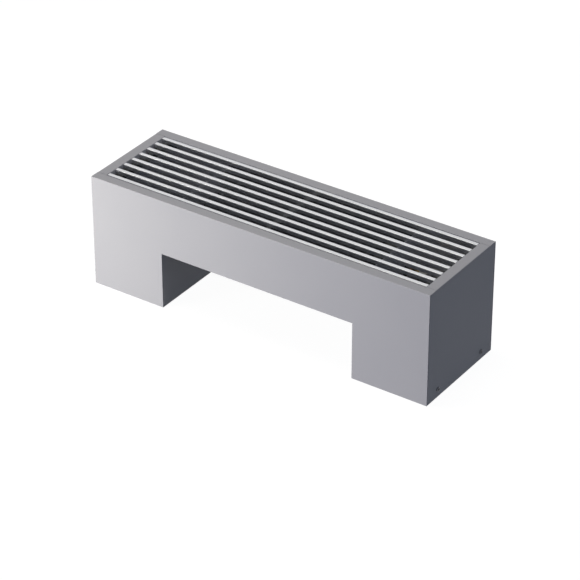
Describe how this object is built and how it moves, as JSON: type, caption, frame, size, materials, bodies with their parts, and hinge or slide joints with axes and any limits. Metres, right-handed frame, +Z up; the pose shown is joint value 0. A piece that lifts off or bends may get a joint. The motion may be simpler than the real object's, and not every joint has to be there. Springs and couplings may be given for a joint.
{
  "type": "floor-standing convector",
  "caption": "Low floor-standing convector with a folded steel casing on two wide legs, a linear grille on top, a finned water heater between the legs and valves over the right leg.",
  "frame": {"origin": "on the floor, under the middle of the casing", "axes": "+X along the casing towards the valve end, +Y from the front to the rear, +Z up"},
  "size_m": [0.8048, 0.24, 0.25],
  "materials": {
    "casing_paint": "satin grey powder coat",
    "bar_aluminium": "natural anodised, satin",
    "coated_channels": "matt dark coat",
    "zinc_steel": "zinc plated",
    "black_steel": "matt black powder coat",
    "black_fins": "matt black dip coat over aluminium",
    "copper_tube": "copper, dip-coated black round the fins, bare past the leg panel",
    "brass": "turned",
    "nickel_brass": "nickel plated, satin",
    "steel_pin": "ground stainless steel",
    "dark_screws": "dark zinc",
    "cap_plastic": "moulded, black",
    "rubber": "matt"
  },
  "bodies": {
    "casing": {"front_panel": "casing_paint", "rear_panel": "casing_paint", "left_side_panel": "casing_paint", "right_side_panel": "casing_paint", "left_leg_panel": "casing_paint", "right_leg_panel": "casing_paint", "left_floor_bracket": "zinc_steel", "right_floor_bracket": "zinc_steel", "panel_nuts": "zinc_steel", "bracket_nuts": "zinc_steel", "heater_screws": "zinc_steel", "front_air_guide": "black_steel", "rear_air_guide": "black_steel", "left_end_plate": "black_steel", "right_end_plate": "black_steel", "left_heater_shelf": "black_steel", "right_heater_shelf": "black_steel", "grille_rest_1": "black_steel", "grille_rest_2": "black_steel", "grille_rest_3": "black_steel", "grille_rest_4": "black_steel", "grille_rest_5": "black_steel", "grille_rest_6": "black_steel", "fin_pack": "black_fins", "hairpin_tube_1": "copper_tube", "hairpin_tube_2": "copper_tube", "hairpin_tube_3": "copper_tube", "hairpin_tube_4": "copper_tube", "return_bend_1": "copper_tube", "return_bend_2": "copper_tube", "return_bend_3": "copper_tube", "supply_tail": "brass", "return_tail": "brass", "valve_insert": "brass", "supply_union_nut": "nickel_brass", "return_union_nut": "nickel_brass", "supply_valve_body": "nickel_brass", "return_valve_body": "nickel_brass", "side_screws": "dark_screws", "grille_pads": "rubber", "tube_grommets": "rubber"},
    "grille": {"grille_bar_1": "bar_aluminium", "grille_bar_2": "bar_aluminium", "grille_bar_3": "bar_aluminium", "grille_bar_4": "bar_aluminium", "grille_bar_5": "bar_aluminium", "grille_bar_6": "bar_aluminium", "grille_bar_7": "bar_aluminium", "grille_bar_8": "bar_aluminium", "left_crossbar": "coated_channels", "middle_crossbar": "coated_channels", "right_crossbar": "coated_channels", "grille_screws": "zinc_steel"},
    "hand_cap": {"valve_cap": "cap_plastic"},
    "pin": {"valve_pin": "steel_pin"},
    "spindle": {"return_spindle": "brass"},
    "blind_cap": {"return_cap": "nickel_brass"},
    "vent": {"bleed_screw": "nickel_brass"}
  },
  "joints": [
    {"name": "grille_lift", "type": "slide", "parent": "casing", "child": "grille", "axis": [0, 0, 1], "range_m": [0, 0.12]},
    {"name": "valve_cap_turn", "type": "hinge", "parent": "casing", "child": "hand_cap", "pos_m": [0.3022, -0.06975, 0.152], "axis": [0, 0, 1], "range_deg": [-540, 0]},
    {"name": "valve_pin_slide", "type": "slide", "parent": "casing", "child": "pin", "axis": [0, 0, 1], "range_m": [-0.0025, 0]},
    {"name": "return_spindle_turn", "type": "hinge", "parent": "casing", "child": "spindle", "pos_m": [0.3022, 0.06975, 0.152], "axis": [0, 0, 1], "range_deg": [-720, 0]},
    {"name": "return_cap_lift", "type": "slide", "parent": "casing", "child": "blind_cap", "axis": [0, 0, 1], "range_m": [0, 0.03]},
    {"name": "vent_screw_turn", "type": "hinge", "parent": "casing", "child": "vent", "pos_m": [0.25, 0.06975, 0.152], "axis": [0, 0, 1], "range_deg": [0, 360]}
  ],
  "couplings": [
    {"joint": "valve_pin_slide", "follows": "valve_cap_turn", "m_per_rad": 0.00026526}
  ]
}
